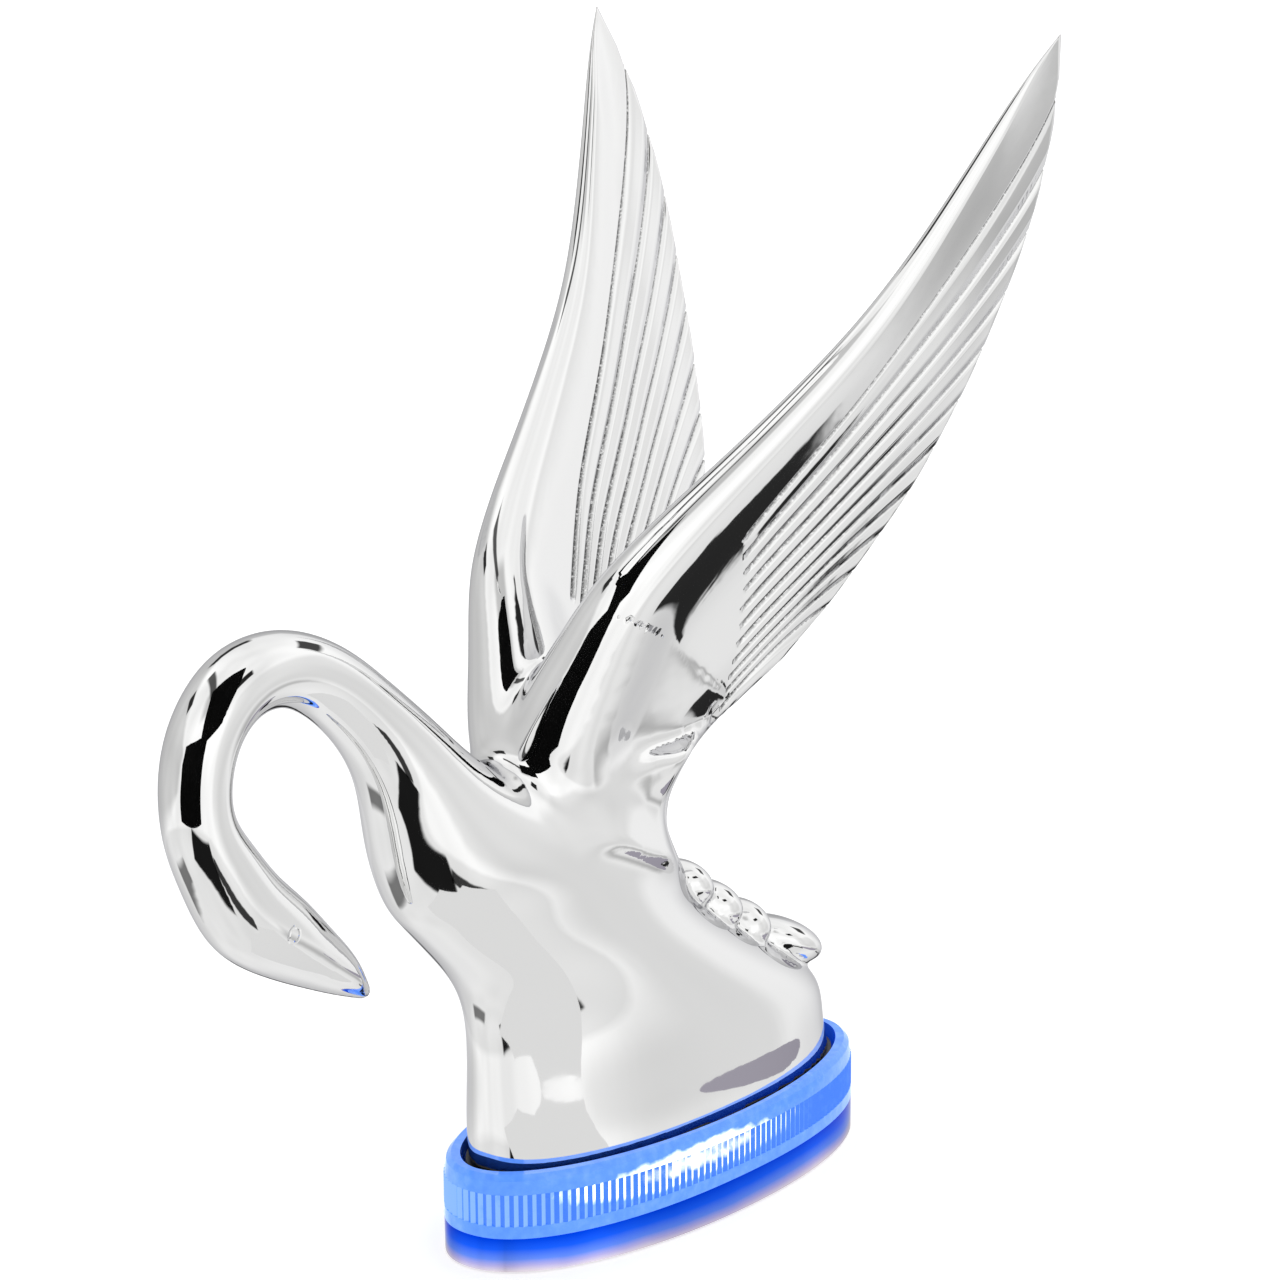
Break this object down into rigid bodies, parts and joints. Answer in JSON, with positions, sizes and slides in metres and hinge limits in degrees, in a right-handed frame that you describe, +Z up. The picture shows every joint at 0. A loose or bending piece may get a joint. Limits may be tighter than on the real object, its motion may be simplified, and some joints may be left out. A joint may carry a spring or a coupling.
{
  "type": "hood ornament",
  "caption": "Chromed swan with a hooked neck and raised grooved wings, standing on an oval base with a lit translucent blue ring.",
  "frame": {"origin": "centre of the base's underside, midway between the two mounting studs", "axes": "+Z up from the hood, the swan looks along -Y, +X is the swan's left, X = 0 is the mirror plane"},
  "size_m": [0.1118, 0.1847, 0.2217],
  "materials": {
    "chrome_casting": "bright chrome plating on a zinc casting",
    "chrome_skirt": "bright chrome plating",
    "blue_lens": "translucent blue moulded lens, lit from inside",
    "black_rubber": "matt black rubber",
    "pad_rubber": "matt foam rubber",
    "black_plastic": "black moulded plastic",
    "clear_seal": "cured clear silicone",
    "brass": "knurled brass",
    "plate_steel": "zinc plated sheet steel",
    "steel_screw": "zinc plated steel",
    "steel_washer": "zinc plated steel",
    "green_board": "solder mask on glass fibre board",
    "white_plastic": "white moulded plastic",
    "led_window": "clear silicone over the lamp chip",
    "dark_chip": "black moulded body",
    "tin_pin": "tinned pin"
  },
  "bodies": {
    "root": {"swan_casting": "chrome_casting", "seat_gasket": "black_rubber", "light_ring": "blue_lens", "ring_seal": "clear_seal", "base_skirt": "chrome_skirt", "bottom_plate": "plate_steel", "base_pad": "pad_rubber", "carrier_plate": "black_plastic", "base_core": "black_plastic", "thread_inserts": "brass", "core_screws": "steel_screw", "casting_screws": "steel_screw", "casting_washers": "steel_washer", "lock_washers": "steel_washer", "wire_grommet": "black_rubber", "led_board": "green_board", "board_screws": "steel_screw", "led_housings": "white_plastic", "led_windows": "led_window", "chip_resistors": "dark_chip", "input_diode": "dark_chip", "wire_header": "white_plastic", "header_pins": "tin_pin", "light_reflector": "white_plastic"}
  },
  "joints": []
}
